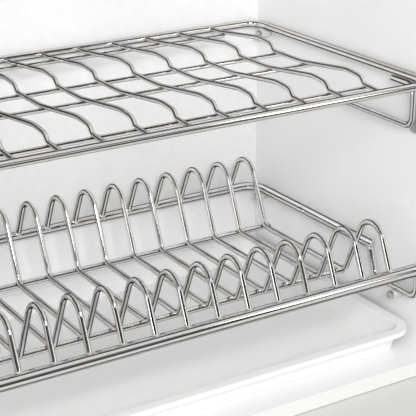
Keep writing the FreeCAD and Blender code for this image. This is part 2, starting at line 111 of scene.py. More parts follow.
class PlateRackSizes(bpy.types.PropertyGroup):
    """Sizes of the plate rack that its box in the frame doesn't give."""

    wire_count: IntProperty(name="Wires", description="Number of plate wires", default=21, min=2)
    wire_diameter: length("Wire", "Diameter of the plate wires", 5.8 * MM)
    loop_lean: FloatProperty(name="Lean", description="Lean of a loop's inner leg from upright",
                             default=math.radians(23.4), subtype="ANGLE")
    loop_radius: length("Loop radius", "Bend at the top of each loop, on the wire's axis", 19.2 * MM)
    loop_drop: length("Loop drop", "How much lower the loops stand than the solids' loops", 2.0 * MM)
    floor_radius: length("Floor radius", "Bend between a leg and the floor run", 10.0 * MM)
    corner_radius: length("Corner radius", "Rear corners of the tube frame", 22.0 * MM)
    tube_end_round: length("Tube end", "Rounding of the closed ends of the tube frame", 2.5 * MM)
    front_rod_offset: length("Front rod place", "From the front bends back to the front floor rod", 12.0 * MM)
    leg_diameter: length("Leg", "Diameter of the bent front legs", 7.0 * MM)
    leg_lean: length("Leg lean", "How far a leg leans forward on its way down", 12.0 * MM)
    leg_radius: length("Leg bend", "Bends of the front legs", 9.0 * MM)
    leg_inset: length("Leg place", "From the end of the tube to the leg's axis", 5.0 * MM)
    cap_dome: length("Cap dome", "How far the end plugs of the front rail stand out", 2.5 * MM)


class CupRackSizes(bpy.types.PropertyGroup):
    """Sizes of the cup rack that its box in the frame doesn't give."""

    wire_count: IntProperty(name="Wires", description="Number of wavy wires", default=16, min=2)
    wire_diameter: length("Wire", "Diameter of the wavy wires and long rods", 4.5 * MM)
    frame_diameter: length("Frame", "Diameter of the outer frame", 8.0 * MM)
    corner_radius: length("Corner radius", "Corners of the outer frame", 20.0 * MM)
    wire_rise: length("Wire rise", "From the frame's axis up to the axis of the wavy wires", 2.25 * MM)
    end_inset: length("Wire end", "From the frame's axis in to the end of a wavy wire", 2.0 * MM)
    end_dip: length("End dip", "How far a wavy wire drops to its ends", 1.25 * MM)
    wave_height: length("Wave height", "Height of a wave's crest corner", 8.8 * MM)
    crest_share: FloatProperty(name="Crest place", description="Place of the crest along a wave", default=0.74)
    shoulder_run: length("Shoulder run", "Run of the steep toe", 4.5 * MM)
    shoulder_share: FloatProperty(name="Shoulder height", description="Height of the shoulder", default=0.74)
    foot_radius: length("Foot radius", "Bend at a wave's foot", 60.0 * MM)
    crest_radius: length("Crest radius", "Bend at a wave's crest", 60.0 * MM)
    shoulder_radius: length("Shoulder radius", "Bend at a wave's shoulder", 9.0 * MM)
    toe_radius: length("Toe radius", "Bend at a wave's toe", 5.0 * MM)


class FittingSizes(bpy.types.PropertyGroup):
    """Sizes of the supports and screws."""

    support_diameter: length("Support rod", "Diameter of the bent cup rack supports", 6.0 * MM)
    support_radius: length("Support bend", "Bends of the support in front", 10.0 * MM)
    support_rest: length("Rest", "Length of the run under the cup rack", 34.0 * MM)
    screw_diameter: length("Screw", "Outside diameter of the screw thread", 4.0 * MM)
    screw_head: length("Screw head", "Diameter of the pan head", 7.5 * MM)
    screw_head_height: length("Head height", "Height of the pan head", 2.0 * MM)
    screw_length: length("Screw length", "Length under the head", 14.0 * MM)
    thread_pitch: length("Thread pitch", "Rise of the thread in one turn", 1.5 * MM)
    support_screw_span: length("Plate screws", "Between the two screws of a support plate", 44.0 * MM)


class MeshSteps(bpy.types.PropertyGroup):
    """How finely the round metal is drawn."""

    ring_sides: IntProperty(name="Sides", description="Sides of a wire's round section", default=20, min=8)
    arc_step: FloatProperty(name="Arc step", description="Turn between two rings of a bend",
                            default=math.radians(4.0), subtype="ANGLE")
    run_step: length("Run step", "Longest step along a straight run", 6.0 * MM)
    weld_size: length("Weld size", "Width of the fillet round a welded foot", 1.1 * MM)
    weld_reach: length("Weld tint", "How far the warmth of a weld shows along the metal", 3.5 * MM)


class Finishes(bpy.types.PropertyGroup):
    """Colours of the finishes."""

    melamine: colour("Melamine", "White face of the boards", "#f6f6f6")
    chipboard: colour("Chipboard", "Bare rear edges of the boards", "#b8966c")
    hardboard: colour("Hardboard", "Bare rear of the back panel", "#7d5b3c")
    edge_band: colour("Edge band", "Strips on the front edges", "#ededec")
    steel_cool: colour("Steel, cool", "Cooler patches of the polished stainless steel", "#eff0f2")
    steel_warm: colour("Steel, warm", "Warmer patches of the polished stainless steel", "#f3efea")
    # Painted reflection: this near-black colour is painted in stripes round the wires to stand in for a dark room
    # mirrored in the steel
    steel_painted_reflection: colour("Steel, painted reflection stripes", "Dark reflection stripes painted along the wires", "#1e2022")
    weld_straw: colour("Weld straw", "Faint straw tint beside the welds", "#bdb09a")
    zinc: colour("Zinc", "Plated screws", "#b9bcbf")
    satin_steel: colour("Satin steel", "Support plates", "#bdbfc0")
    tray: colour("Tray", "Moulded drip tray", "#f5f5f4")
    caps: colour("Caps", "Screw caps and bushes", "#eeeeeb")
    sleeve: colour("Sleeve", "Soft sleeves on the pegs", "#d9d9d6")
    floor: colour("Floor", "Studio floor", "#dededc")


def settings():
    """Return the scene's settings of this file."""
    return bpy.context.scene.dish_cabinet


class DishCabinet(bpy.types.PropertyGroup):
    """All settings of the dish cabinet."""

    plate_rack: PointerProperty(type=PlateRackSizes)
    cup_rack: PointerProperty(type=CupRackSizes)
    fittings: PointerProperty(type=FittingSizes)
    steps: PointerProperty(type=MeshSteps)
    finishes: PointerProperty(type=Finishes)


def unit(vector):
    """Return a vector of length one."""
    return vector / np.linalg.norm(vector)


def turned_about(vector, axis, angles):
    """Rotate one vector about a unit axis by each angle: v cos a + (k x v) sin a + k (k . v)(1 - cos a)."""
    angles = np.asarray(angles)[:, None]
    along = axis * np.dot(axis, vector)
    return vector * np.cos(angles) + np.cross(axis, vector) * np.sin(angles) + along * (1 - np.cos(angles))


def bent_route(corners, radii, arc_step, run_step):
    """Follow straight runs through the corners, with a tangent arc of its radius at each inner corner.

    On an arc the point is centre + r (d sin a - n cos a), where d is the run before it, n points to the
    centre and a is the turn so far. The side vector is carried along by the same turn, so it never twists.
    Returns the points, directions and side vectors of the rings.
    """
    corners = [np.array(corner, float) for corner in corners]
    direction = unit(corners[1] - corners[0])
    helper = np.array([0.0, 0.0, 1.0]) if abs(direction[2]) < 0.9 else np.array([1.0, 0.0, 0.0])
    side = unit(np.cross(direction, helper))
    start = corners[0]
    points, directions, sides = [], [], []

    def run_to(end, keep_end):
        """Add evenly spaced rings from the present point to the end."""
        count = max(1, math.ceil(np.linalg.norm(end - start) / run_step))
        share = np.linspace(0, 1, count + 1)[:, None]
        if not keep_end:
            share = share[:-1]
        points.append(start + share * (end - start))
        directions.append(np.tile(direction, (len(share), 1)))
        sides.append(np.tile(side, (len(share), 1)))

    for corner, after, radius in zip(corners[1:], corners[2:], radii):
        ahead = unit(after - corner)
        turn = math.acos(float(np.clip(np.dot(direction, ahead), -1, 1)))
        axis = unit(np.cross(direction, ahead))
        inward = np.cross(axis, direction)
        reach = radius * math.tan(turn / 2)
        arc_start = corner - direction * reach
        run_to(arc_start, False)
        angles = np.linspace(0, turn, max(2, math.ceil(turn / arc_step)) + 1)[:-1]
        centre = arc_start + inward * radius
        across = np.sin(angles)[:, None] * direction - np.cos(angles)[:, None] * inward
        points.append(centre + radius * across)
        directions.append(turned_about(direction, axis, angles))
        sides.append(turned_about(side, axis, angles))
        side = turned_about(side, axis, [turn])[0]
        direction = ahead
        start = corner + ahead * reach
    run_to(corners[-1], True)
    return np.vstack(points), np.vstack(directions), np.vstack(sides)


def softened_ends(route, radius, rounding, steps=4):
    """Round the two cut ends: at turn a the radius is r - c + c sin a and the setback is c (1 - cos a)."""
    points, directions, sides = route
    turns = np.linspace(0, math.pi / 2, steps, endpoint=False)
    setback = (rounding * (1 - np.cos(turns)))[:, None]
    shrunk = radius - rounding + rounding * np.sin(turns)
    inner = points.copy()
    inner[0] = points[0] + directions[0] * rounding
    inner[-1] = points[-1] - directions[-1] * rounding
    first = points[0] + directions[0] * setback
    last = points[-1] - directions[-1] * setback[::-1]
    directions = np.vstack([np.tile(directions[0], (steps, 1)), directions, np.tile(directions[-1], (steps, 1))])
    sides = np.vstack([np.tile(sides[0], (steps, 1)), sides, np.tile(sides[-1], (steps, 1))])
    radii = np.concatenate([shrunk, np.full(len(inner), radius), shrunk[::-1]])
    return (np.vstack([first, inner, last]), directions, sides), radii


def swept(route, radii, ring_sides, closed=False, lift=None):
    """Carry a round section along a route: p + r (s cos f + (d x s) sin f), with an optional lift along d.

    Open ends close on a pole. Returns the points, faces and their places in metres along and round the rod.
    """
    points, directions, sides = route
    if closed:
        wrap_length = np.linalg.norm(points[-1] - points[-2])
        points, directions, sides = points[:-1], directions[:-1], sides[:-1]
    rings = len(points)
    radii = np.broadcast_to(np.asarray(radii, float).reshape(-1, 1) if np.ndim(radii) < 2 else radii,
                            (rings, ring_sides))
    turn = 2 * math.pi * np.arange(ring_sides) / ring_sides
    ups = np.cross(directions, sides)
    section = np.cos(turn)[None, :, None] * sides[:, None, :] + np.sin(turn)[None, :, None] * ups[:, None, :]
    surface = points[:, None, :] + radii[:, :, None] * section
    if lift is not None:
        surface = surface + lift[:, :, None] * directions[:, None, :]
    along = np.concatenate([[0], np.cumsum(np.linalg.norm(np.diff(points, axis=0), axis=1))])
    girth = 2 * math.pi * float(np.max(radii))
    last_ring = rings if closed else rings - 1
    ring, column = np.meshgrid(np.arange(last_ring), np.arange(ring_sides), indexing="ij")
    next_ring = (ring + 1) % rings
    next_column = (column + 1) % ring_sides
    quads = np.stack([ring * ring_sides + column, ring * ring_sides + next_column,
                      next_ring * ring_sides + next_column, next_ring * ring_sides + column], -1).reshape(-1, 4)
    if closed:
        along = np.append(along, along[-1] + wrap_length)
    round_it = girth * np.arange(ring_sides + 1) / ring_sides
    quad_places = np.stack([np.stack([along[ring], round_it[column]], -1),
                            np.stack([along[ring], round_it[column + 1]], -1),
                            np.stack([along[ring + 1], round_it[column + 1]], -1),
                            np.stack([along[ring + 1], round_it[column]], -1)], -2).reshape(-1, 4, 2)
    flat = surface.reshape(-1, 3)
    if closed:
        return {"points": flat, "quads": quads, "triangles": np.zeros((0, 3), int), "quad_places": quad_places,
                "triangle_places": np.zeros((0, 3, 2))}
    first_pole, last_pole = len(flat), len(flat) + 1
    columns = np.arange(ring_sides)
    after = (columns + 1) % ring_sides
    base = (rings - 1) * ring_sides
    start_fan = np.stack([np.full(ring_sides, first_pole), after, columns], -1)
    end_fan = np.stack([np.full(ring_sides, last_pole), base + columns, base + after], -1)
    pole_lift = np.zeros((2, 1)) if lift is None else np.array([[lift[0].mean()], [lift[-1].mean()]])
    poles = points[[0, -1]] + pole_lift * directions[[0, -1]]
    start_places = np.stack([np.stack([np.zeros(ring_sides), round_it[:-1]], -1)] * 3, -2)
    end_places = np.stack([np.stack([np.full(ring_sides, along[-1]), round_it[:-1]], -1)] * 3, -2)
    return {"points": np.vstack([flat, poles]), "quads": quads, "triangles": np.vstack([start_fan, end_fan]),
            "quad_places": quad_places, "triangle_places": np.vstack([start_places, end_places])}


def joined(shapes):
    """Put several shapes into one."""
    shapes = list(shapes)
    starts = np.concatenate([[0], np.cumsum([len(shape["points"]) for shape in shapes])[:-1]])
    merged = {key: np.concatenate([shape[key] for shape in shapes]) for key in ("points", "quad_places",
                                                                                 "triangle_places")}
    for key in ("quads", "triangles"):
        merged[key] = np.concatenate([shape[key] + start for shape, start in zip(shapes, starts)])
    return merged


def repeated(shape, shifts):
    """Copy a shape once for each shift, its pattern starting 0.9 m further on each time, so no two are alike."""
    shifts = np.asarray(shifts, float)
    count = len(shape["points"])
    starts = (np.arange(len(shifts)) * count)[:, None, None]
    further = (0.9 * np.arange(len(shifts)))[:, None, None, None] * np.array([1.0, 0.0])
    places = [(shape[key][None] + further).reshape(-1, *shape[key].shape[1:])
              for key in ("quad_places", "triangle_places")]
    return {"points": (shape["points"][None] + shifts[:, None]).reshape(-1, 3),
            "quads": (shape["quads"][None] + starts).reshape(-1, 4),
            "triangles": (shape["triangles"][None] + starts).reshape(-1, 3),
            "quad_places": places[0], "triangle_places": places[1]}


def weld_warmth(points, welds, reach):
    """Return exp(-(d / reach)^2) for each point, where d is its distance from the nearest weld."""
    warmth = np.zeros(len(points))
    for weld in np.asarray(welds, float).reshape(-1, 3):
        squared = ((points - weld) ** 2).sum(1)
        warmth = np.maximum(warmth, np.exp(-squared / reach ** 2))
    return warmth


def put_piece(name, shape, body, nodes, material, welds=()):
    """Make one smooth mesh object from a shape, hand it to its body and hide the CAD nodes it stands for."""
    for old in [o for o in bpy.data.objects if o.name == name]:
        bpy.data.objects.remove(old)
    mesh = bpy.data.meshes.new(name)
    faces = shape["quads"].tolist() + shape["triangles"].tolist()
    mesh.from_pydata(shape["points"].tolist(), [], faces)
    places = np.concatenate([shape["quad_places"].reshape(-1, 2), shape["triangle_places"].reshape(-1, 2)])
    layer = mesh.uv_layers.new(name="UVMap")
    layer.data.foreach_set("uv", places.ravel().astype(np.float32))
    warmth = mesh.attributes.new("weld_warmth", "FLOAT", "POINT")
    warmth.data.foreach_set("value", weld_warmth(shape["points"], welds, settings().steps.weld_reach))
    mesh.polygons.foreach_set("use_smooth", np.ones(len(faces), bool))
    mesh.update()
    mesh.materials.append(material)
    piece = bpy.data.objects.new(name, mesh)
    bpy.context.scene.collection.objects.link(piece)
    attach(piece, body)
    if nodes:
        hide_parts(*nodes)
    return piece


def centre_of(node):
    """Return the middle of a CAD node's box."""
    low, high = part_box(node)
    return np.array((low + high) / 2)


def corner_low(node):
    """Return the lowest corner of a CAD node's box."""
    return np.array(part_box(node)[0])


def corner_high(node):
    """Return the highest corner of a CAD node's box."""
    return np.array(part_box(node)[1])


def spread(node, count, diameter):
    """Return the X places of evenly spaced wires whose node just holds them."""
    low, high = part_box(node)
    return np.linspace(low.x + diameter / 2, high.x - diameter / 2, count)


def along_x(places):
    """Return shifts along X."""
    return np.stack([places, np.zeros(len(places)), np.zeros(len(places))], -1)


def rod(corners, radii, diameter, rounding, sides=None):
    """Return a bent rod with softened ends."""
    steps = settings().steps
    route = bent_route(corners, radii, steps.arc_step, steps.run_step)
    route, radius = softened_ends(route, diameter / 2, rounding)
    return swept(route, radius, sides or steps.ring_sides)


def foot_fillet(foot, direction, rail_axis, rail_radius, wire_radius, width):
    """Return the small fillet where a wire of direction d stands on a rail of axis a.

    At turn a its radius is r = w + c (1 - sin a). With n across the rail in the plane of d and the rail, and
    u = d x s, the wire meets the rail at t = (sqrt(R^2 - r^2 cos^2 f) - r sin f (u . n)) / (d . n), and the
    fillet stands c (1 - cos a) above that, so its rim lies on the rail all the way round.
    """
    turns = np.linspace(0, math.pi / 2, 6)
    radii = np.concatenate([[wire_radius * 0.5, wire_radius + width], wire_radius + width * (1 - np.sin(turns)),
                            [wire_radius * 0.5]])
    rise = np.concatenate([[-0.5 * width, -0.2 * width], width * (1 - np.cos(turns)), [width]])
    direction = unit(np.array(direction, float))
    rail_axis = np.array(rail_axis, float)
    side = unit(np.cross(direction, rail_axis))
    across = unit(direction - np.dot(direction, rail_axis) * rail_axis)
    tilt = float(np.dot(np.cross(direction, side), across))
    ring_sides = 20
    turn = 2 * math.pi * np.arange(ring_sides) / ring_sides
    half_chord = np.sqrt(np.maximum(rail_radius ** 2 - (radii[:, None] * np.cos(turn)[None]) ** 2, 0))
    saddle = (half_chord - radii[:, None] * np.sin(turn)[None] * tilt) / float(np.dot(direction, across))
    route = (np.array(foot)[None] + 0 * rise[:, None], np.tile(direction, (len(rise), 1)),
             np.tile(side, (len(rise), 1)))
    return swept(route, radii, ring_sides, lift=saddle + rise[:, None])


def weld_spots(centres, half_sizes):
    """Return a small flattened bead at each centre: c + h (cos e cos f, cos e sin f, sin e)."""
    rings = np.linspace(-math.pi / 2, math.pi / 2, 9)[1:-1]
    points = np.stack([np.zeros(7), np.zeros(7), half_sizes[2] * np.sin(rings)], -1)
    route = (points, np.tile([0.0, 0.0, 1.0], (7, 1)), np.tile([1.0, 0.0, 0.0], (7, 1)))
    bead = swept(route, half_sizes[0] * np.cos(rings), 12)
    bead["points"][:, 1] *= half_sizes[1] / half_sizes[0]
    bead["points"][-2:, 2] = (-half_sizes[2], half_sizes[2])
    return repeated(bead, centres)


def rack_places():
    """Work out the plate rack's axes from the boxes of its nodes."""
    sizes = settings().plate_rack
    rail_low, rail_high = corner_low("front_rail"), corner_high("front_rail")
    rail_radius = (rail_high[2] - rail_low[2]) / 2
    frame_low, frame_high = corner_low("plate_frame"), corner_high("plate_frame")
    tube_radius = (frame_high[2] - frame_low[2]) / 2
    rail_y, rear_y = rail_low[1] + rail_radius, frame_high[1] - tube_radius
    middle_y = (rail_y + rear_y) / 2
    rod_front, rod_rear = centre_of("floor_rod_front"), centre_of("floor_rod_rear")
    rod_radius = (corner_high("floor_rod_front")[2] - corner_low("floor_rod_front")[2]) / 2
    floor_half = middle_y - rod_front[1] + sizes.front_rod_offset
    floor_z = rod_front[2] + rod_radius + sizes.wire_diameter / 2 - WELD_BITE
    bend_y = middle_y + floor_half - sizes.floor_radius * math.tan((math.pi / 2 - sizes.loop_lean) / 2)
    to_bend = unit(np.array([0.0, bend_y - rod_rear[1], floor_z + sizes.floor_radius - rod_rear[2]]))
    return {
        "rail_radius": rail_radius,
        "rail_y": rail_y,
        "rail_z": rail_low[2] + rail_radius,
        "rail_half": rail_high[0],
        "tube_radius": tube_radius,
        "tube_z": frame_low[2] + tube_radius,
        "rear_y": rear_y,
        "side_x": frame_high[0] - tube_radius,
        "end_y": frame_low[1],
        "middle_y": middle_y,
        "floor_half": floor_half,
        "floor_z": floor_z,
        "rod_radius": rod_radius,
        "rod_half": corner_high("floor_rod_front")[0],
        "rod_front": rod_front,
        "rod_rear": rod_rear,
        "touch_front": rod_front + np.array([0.0, 0.0, rod_radius]),
        "touch_rear": rod_rear + rod_radius * to_bend,
        "loop_top": corner_high("plate_wires")[2] - sizes.wire_diameter / 2 - sizes.loop_drop,
        "wires_x": spread("plate_wires", sizes.wire_count, sizes.wire_diameter),
    }


def loop_corners(place):
    """Return one plate wire's corners, from inside the front rail to inside the rear tube."""
    sizes = settings().plate_rack
    lean = math.tan(sizes.loop_lean)
    apex_z = place["loop_top"] + sizes.loop_radius / math.sin(sizes.loop_lean) - sizes.loop_radius
    apex_half = place["floor_half"] + (apex_z - place["floor_z"]) * lean
    sides = []
    for foot_y, foot_z, radius, sign in ((place["rail_y"], place["rail_z"], place["rail_radius"], -1),
                                         (place["rear_y"], place["tube_z"], place["tube_radius"], 1)):
        foot = np.array([0.0, foot_y, foot_z])
        apex = np.array([0.0, place["middle_y"] + sign * apex_half, apex_z])
        bend = (0.0, place["middle_y"] + sign * place["floor_half"], place["floor_z"])
        sides.append([tuple(foot + unit(apex - foot) * radius * 0.8), tuple(apex), bend])
    return sides[0] + sides[1][::-1]


class CABINET_OT_plate_wires(bpy.types.Operator):
    """Bend the plate wires into a loop at each end and set their welded feet"""

    bl_idname = "dish_cabinet.plate_wires"
    bl_label = "Plate Wires"

    def execute(self, context):
        sizes, steps = settings().plate_rack, settings().steps
        place = rack_places()
        corners = loop_corners(place)
        radii = [sizes.loop_radius, sizes.floor_radius, sizes.floor_radius, sizes.loop_radius]
        wire = rod(corners, radii, sizes.wire_diameter, 0.4 * MM)
        shifts = along_x(place["wires_x"])
        rails = ((place["rail_y"], place["rail_z"], place["rail_radius"], np.subtract(corners[1], corners[0])),
                 (place["rear_y"], place["tube_z"], place["tube_radius"], np.subtract(corners[-2], corners[-1])))
        feet = np.array([np.array([x, y, z]) + unit(leg) * radius
                         for x in place["wires_x"] for y, z, radius, leg in rails])
        crossings = np.array([touch + [x, 0, 0] for x in place["wires_x"]
                              for touch in (place["touch_front"], place["touch_rear"])])
        welds = np.vstack([feet, crossings])
        put_piece("plate_wires_bent", repeated(wire, shifts), "plate_rack", ["plate_wires"],
                  finish("stainless"), welds)
        fillets = [foot_fillet((0, y, z), leg, (1, 0, 0), radius, sizes.wire_diameter / 2, steps.weld_size)
                   for y, z, radius, leg in rails]
        beads = weld_spots(crossings, (1.7 * MM, 2.0 * MM, 1.1 * MM))
        put_piece("plate_wire_welds", joined([repeated(joined(fillets), shifts), beads]), "plate_rack",
                  [], finish("weld"), welds)
        return {"FINISHED"}


class CABINET_OT_plate_frame(bpy.types.Operator):
    """Bend the plate rack's tube frame and front legs and set its long rods and front rail with plugs"""

    bl_idname = "dish_cabinet.plate_frame"
    bl_label = "Plate Rack Frame"

    def execute(self, context):
        place = rack_places()
        self.bend_tube(place)
        self.bend_legs(place)
        self.draw_rods(place)
        put_piece("front_rail_plugs", rail_plugs(place), "plate_rack", ["front_rail_caps"],
                  finish("plug"))
        return {"FINISHED"}

    def bend_tube(self, place):
        """Bend the tube under the rear feet, with its closed ends in front."""
        sizes, steps = settings().plate_rack, settings().steps
        x, rear_y, z = place["side_x"], place["rear_y"], place["tube_z"]
        corners = [(-x, place["end_y"], z), (-x, rear_y, z), (x, rear_y, z), (x, place["end_y"], z)]
        route = bent_route(corners, [sizes.corner_radius] * 2, steps.arc_step, 3 * MM)
        route, radii = softened_ends(route, place["tube_radius"], sizes.tube_end_round, 8)
        feet = [(wx, rear_y, z + place["tube_radius"]) for wx in place["wires_x"]]
        put_piece("plate_frame_tube", swept(route, radii, 28), "plate_rack", ["plate_frame"],
                  finish("stainless"), feet)

    def bend_legs(self, place):
        """Bend a leg from under each end of the tube, down, forward and up to the front rail."""
        sizes, steps = settings().plate_rack, settings().steps
        x, radius = place["side_x"], sizes.leg_diameter / 2
        low_z = corner_low("front_leg_right")[2] + radius
        top = np.array([x, place["end_y"] + sizes.leg_inset, place["tube_z"]])
        knee = top + [0, -sizes.leg_lean, low_z - top[2]]
        toe = np.array([x, place["rail_y"], low_z])
        head = np.array([x, place["rail_y"], place["rail_z"]])
        down, up = unit(knee - top), unit(toe - head)
        corners = [top + down * place["tube_radius"] * 0.7, knee, toe, head + up * place["rail_radius"] * 0.8]
        leg = rod(corners, [sizes.leg_radius] * 2, sizes.leg_diameter, 0.3 * MM)
        fillets = joined([foot_fillet(top, down, (0, 1, 0), place["tube_radius"], radius, steps.weld_size),
                          foot_fillet(head, up, (1, 0, 0), place["rail_radius"], radius, steps.weld_size)])
        welds = np.array([top + down * place["tube_radius"], head + up * place["rail_radius"]])
        put_piece("front_leg_right_bent", leg, "plate_rack", ["front_leg_right"],
                  finish("stainless"), welds)
        shift = np.array([[-2 * x, 0.0, 0.0]])
        put_piece("front_leg_left_bent", repeated(leg, shift), "plate_rack",
                  ["front_leg_left"], finish("stainless"), welds + shift)
        both = repeated(fillets, np.vstack([0 * shift, shift]))
        put_piece("front_leg_welds", both, "plate_rack", [], finish("weld"),
                  np.vstack([welds, welds + shift]))

    def draw_rods(self, place):
        """Set the two floor rods and the front rail."""
        steps = settings().steps
        rail = np.array([0.0, place["rail_y"], place["rail_z"]])
        rail_touch = rail + [0.0, 0.0, place["rail_radius"]]
        for node, name, centre, radius, half, sides, touch in (
                ("floor_rod_front", "floor_rod_front_drawn", place["rod_front"], place["rod_radius"],
                 place["rod_half"], steps.ring_sides, place["touch_front"]),
                ("floor_rod_rear", "floor_rod_rear_drawn", place["rod_rear"], place["rod_radius"],
                 place["rod_half"], steps.ring_sides, place["touch_rear"]),
                ("front_rail", "front_rail_tube", rail, place["rail_radius"], place["rail_half"], 28, rail_touch)):
            ends = [centre - [half, 0, 0], centre + [half, 0, 0]]
            route, radii = softened_ends(bent_route(ends, [], steps.arc_step, 3 * MM), radius, 0.6 * MM)
            touches = [touch + [wx, 0, 0] for wx in place["wires_x"]]
            put_piece(name, swept(route, radii, sides), "plate_rack", [node],
                      finish("stainless"), touches)


def rail_plugs(place):
    """Return the two domed plugs: at turn a the radius is R sin a and the height is dome cos a."""
    dome = settings().plate_rack.cap_dome
    radius = place["rail_radius"]
    turns = np.linspace(0, math.pi / 2, 14)[1:]
    lip = 0.9 * MM
    rise = np.concatenate([dome * np.cos(turns), [-lip * 0.5, -lip, -8 * MM]])
    radii = np.concatenate([radius * np.sin(turns), [radius, radius - 0.4 * MM, radius - 1.4 * MM]])
    plugs = []
    for sign in (-1, 1):
        end = np.array([sign * (place["rail_half"] + 0.1 * MM), place["rail_y"], place["rail_z"]])
        points = end + np.stack([sign * rise[::-1], 0 * rise, 0 * rise], -1)
        route = (points, np.tile([float(sign), 0.0, 0.0], (len(rise), 1)), np.tile([0.0, 1.0, 0.0], (len(rise), 1)))
        plugs.append(swept(route, radii[::-1], 28))
    return joined(plugs)


def cup_places():
    """Work out the cup rack's axes from the boxes of its nodes."""
    sizes = settings().cup_rack
    frame_radius = sizes.frame_diameter / 2
    low, high = corner_low("cup_frame"), corner_high("cup_frame")
    frame_z = (low[2] + high[2]) / 2
    return {
        "frame_radius": frame_radius,
        "frame_z": frame_z,
        "side_x": high[0] - frame_radius,
        "front_y": low[1] + frame_radius,
        "rear_y": high[1] - frame_radius,
        "middle_y": (low[1] + high[1]) / 2,
        "wire_z": frame_z + sizes.wire_rise,
        "wires_x": spread("cup_wires", sizes.wire_count, sizes.wire_diameter),
    }


def wave(foot, toe, middle_y, wire_z):
    """Return the corners of one wave, which climbs slowly from its foot and drops at its toe."""
    sizes = settings().cup_rack
    run = toe - foot
    crest = foot + run * sizes.crest_share
    shoulder = toe - math.copysign(sizes.shoulder_run, run)
    outline = [(foot, 0.0), (crest, sizes.wave_height), (shoulder, sizes.wave_height * sizes.shoulder_share),
               (toe, 0.0)]
    return [(0.0, middle_y + y, wire_z + z) for y, z in outline]


class CABINET_OT_cup_rack(bpy.types.Operator):
    """Bend the cup rack's wavy wires and frame and weld them to the long rods"""

    bl_idname = "dish_cabinet.cup_rack"
    bl_label = "Cup Rack"

    def execute(self, context):
        sizes, steps = settings().cup_rack, settings().steps
        place = cup_places()
        middle_y, wire_z = place["middle_y"], place["wire_z"]
        rods = ["cup_rod_rear_outer", "cup_rod_rear_inner", "cup_rod_front_inner", "cup_rod_front_outer"]
        rod_centres = [centre_of(name) for name in rods]
        offsets = [centre[1] - middle_y for centre in rod_centres]
        end_z = wire_z - sizes.end_dip
        corners = [(0.0, place["rear_y"] - sizes.end_inset, end_z)]
        corners += wave(offsets[0], offsets[1], middle_y, wire_z)
        corners += wave(offsets[2], offsets[3], middle_y, wire_z)
        corners += [(0.0, place["front_y"] + sizes.end_inset, end_z)]
        bends = [sizes.foot_radius, sizes.crest_radius, sizes.shoulder_radius, sizes.toe_radius] * 2
        wire = rod(corners, bends, sizes.wire_diameter, 0.3 * MM)
        touch_z = wire_z - sizes.wire_diameter / 2
        crossings = np.array([(x, centre[1], touch_z) for x in place["wires_x"] for centre in rod_centres])
        inner = place["frame_radius"]
        ends = np.array([(x, y, end_z) for x in place["wires_x"]
                         for y in (place["rear_y"] - inner, place["front_y"] + inner)])
        welds = np.vstack([crossings, ends])
        put_piece("cup_wires_bent", repeated(wire, along_x(place["wires_x"])), "cup_rack",
                  ["cup_wires"], finish("stainless"), welds)
        beads = joined([weld_spots(crossings, (1.6 * MM, 1.6 * MM, 0.9 * MM)),
                        weld_spots(ends, (2.9 * MM, 0.9 * MM, 2.5 * MM))])
        put_piece("cup_wire_welds", beads, "cup_rack", [], finish("weld"), welds)
        for name, centre in zip(rods, rod_centres):
            half = corner_high(name)[0]
            ends = [(-half, centre[1], centre[2]), (half, centre[1], centre[2])]
            route = bent_route(ends, [], steps.arc_step, 3 * MM)
            route, radii = softened_ends(route, sizes.wire_diameter / 2, 0.6 * MM)
            touches = [(x, centre[1], touch_z) for x in place["wires_x"]]
            put_piece(name + "_drawn", swept(route, radii, steps.ring_sides), "cup_rack",
                      [name], finish("stainless"), touches)
        x, frame_z = place["side_x"], place["frame_z"]
        right = [(x, place["rear_y"], frame_z), (x, place["front_y"], frame_z)]
        left = [(-px, py, pz) for px, py, pz in reversed(right)]
        corners = [(0, place["rear_y"], frame_z)] + right + left + [(0, place["rear_y"], frame_z)]
        route = bent_route(corners, [sizes.corner_radius] * 4, steps.arc_step, 3 * MM)
        put_piece("cup_frame_bent", swept(route, place["frame_radius"], 24, closed=True), "cup_rack",
                  ["cup_frame"], finish("stainless"), ends)
        return {"FINISHED"}


class CABINET_OT_supports(bpy.types.Operator):
    """Bend the two rod supports under the front of the cup rack"""

    bl_idname = "dish_cabinet.supports"
    bl_label = "Cup Rack Supports"

    def execute(self, context):
        sizes = settings().fittings
        radius = sizes.support_diameter / 2
        low, high = corner_low("cup_support_right"), corner_high("cup_support_right")
        x = low[0] + radius
        rear_y, front_y = high[1] - radius, low[1] + radius
        low_z, high_z = low[2] + radius, high[2] - radius
        corners = [(high[0], rear_y, low_z), (x, rear_y, low_z), (x, front_y, low_z), (x, front_y, high_z),
                   (x, front_y + sizes.support_rest, high_z)]
        bends = [sizes.support_radius - 2 * MM, sizes.support_radius, sizes.support_radius]
        for sign, name in ((1, "cup_support_right"), (-1, "cup_support_left")):
            turned = [(sign * px, py, pz) for px, py, pz in corners]
            put_piece(name + "_bent", rod(turned, bends, sizes.support_diameter, 0.8 * MM), "cabinet",
                      [name], finish("stainless"))
        return {"FINISHED"}


